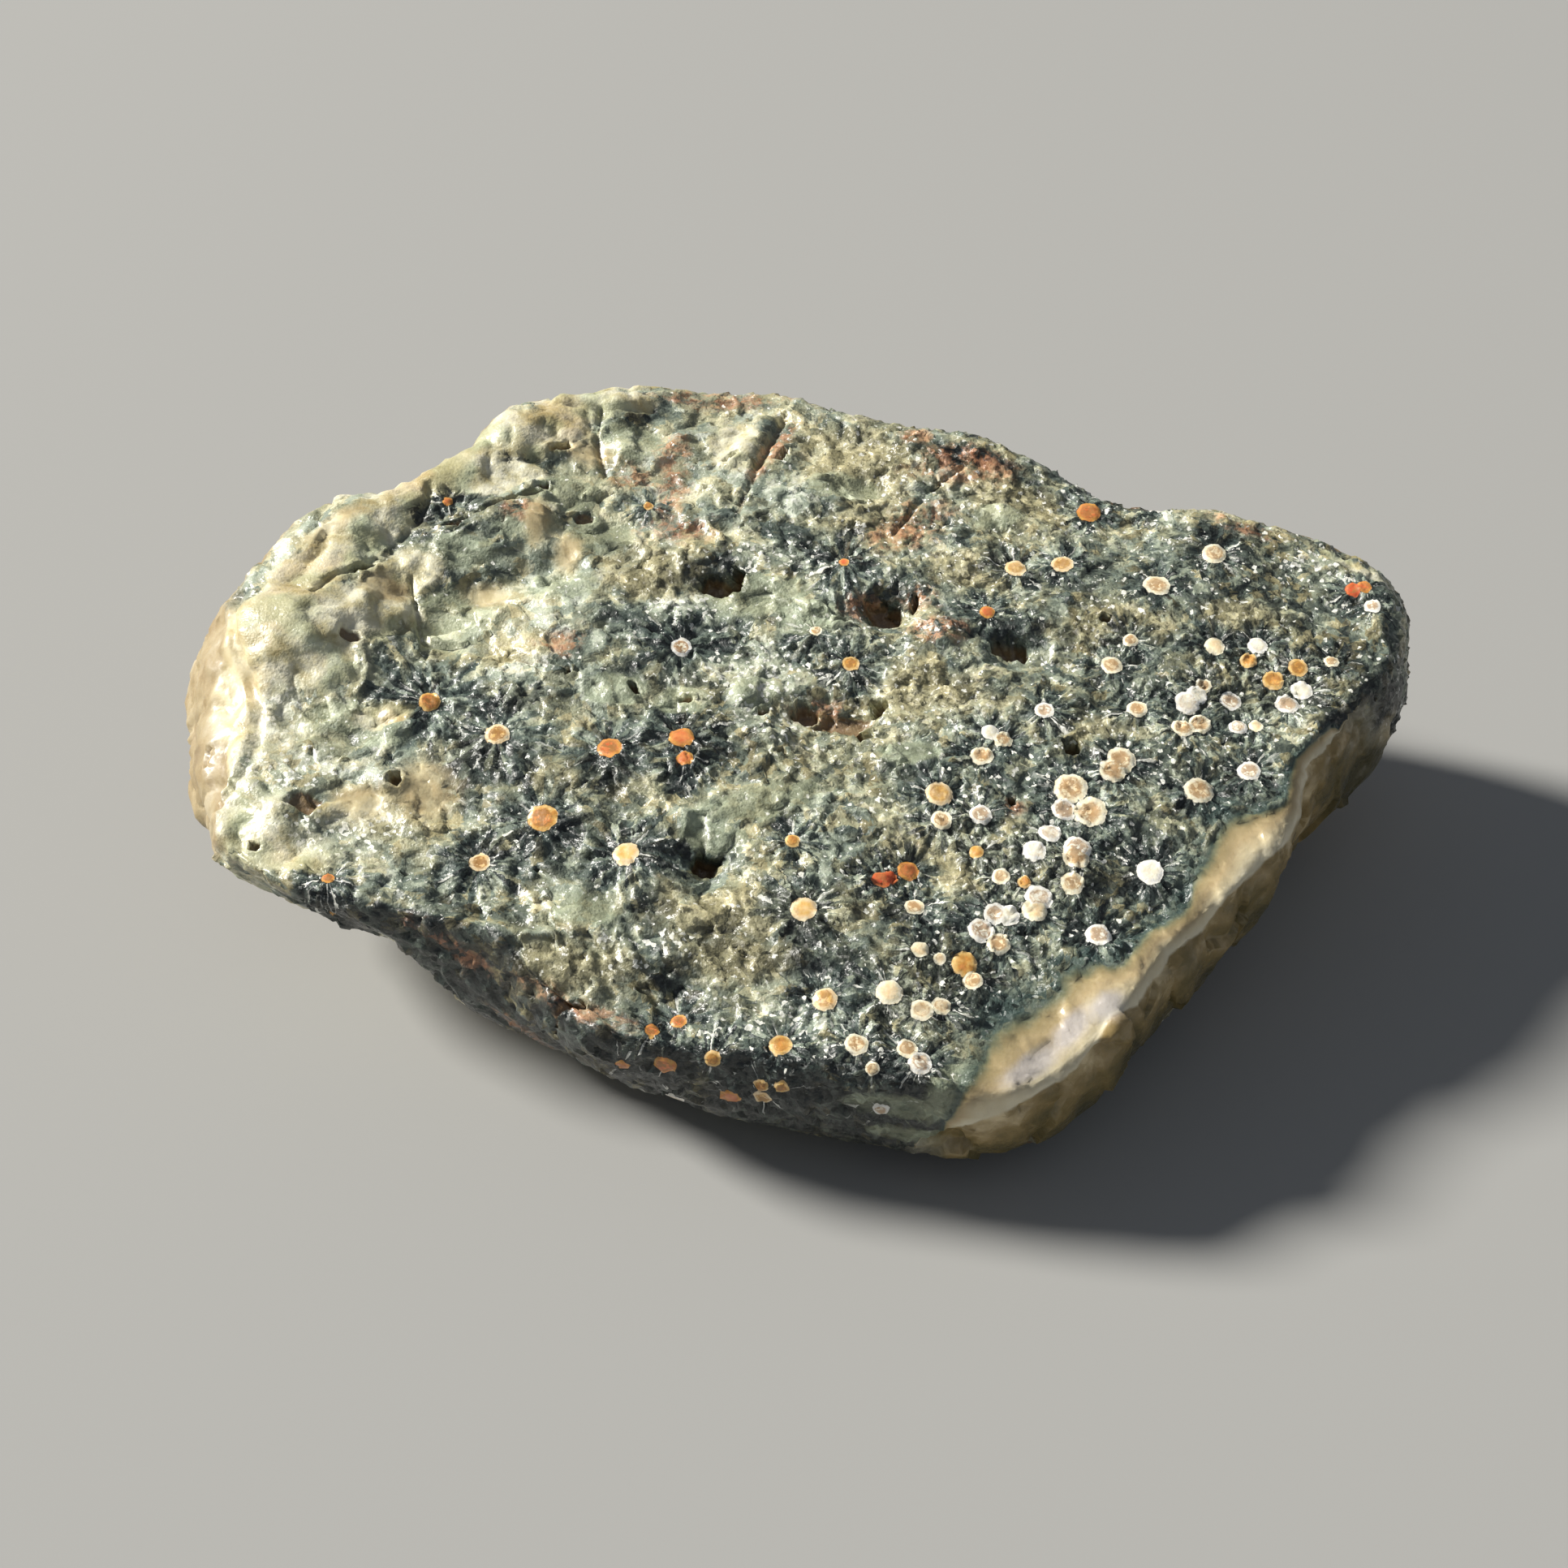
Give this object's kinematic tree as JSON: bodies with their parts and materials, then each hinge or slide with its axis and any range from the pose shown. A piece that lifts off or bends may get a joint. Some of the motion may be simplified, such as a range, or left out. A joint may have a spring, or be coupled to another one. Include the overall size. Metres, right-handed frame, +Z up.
{
  "type": "rough ocean jasper stone",
  "caption": "Rough hand-size slab of orbicular jasper with a pale lobed rind at one end, broken walls, small open pits and a flat patch underneath to rest on.",
  "frame": {"origin": "on the resting plane, below the middle of the bounding box", "axes": "+X along the length towards the blunt end without rind, +Y across towards the thick far edge, +Z up"},
  "size_m": [0.0826, 0.0582, 0.0242],
  "materials": {
    "jasper": "rough broken orbicular jasper: dark blue-grey crystalline ground with radial sprays, cream and orange orbs, sage chalcedony, rust stains and a pale cream rind"
  },
  "bodies": {
    "root": {"jasper_stone": "jasper"}
  },
  "joints": []
}
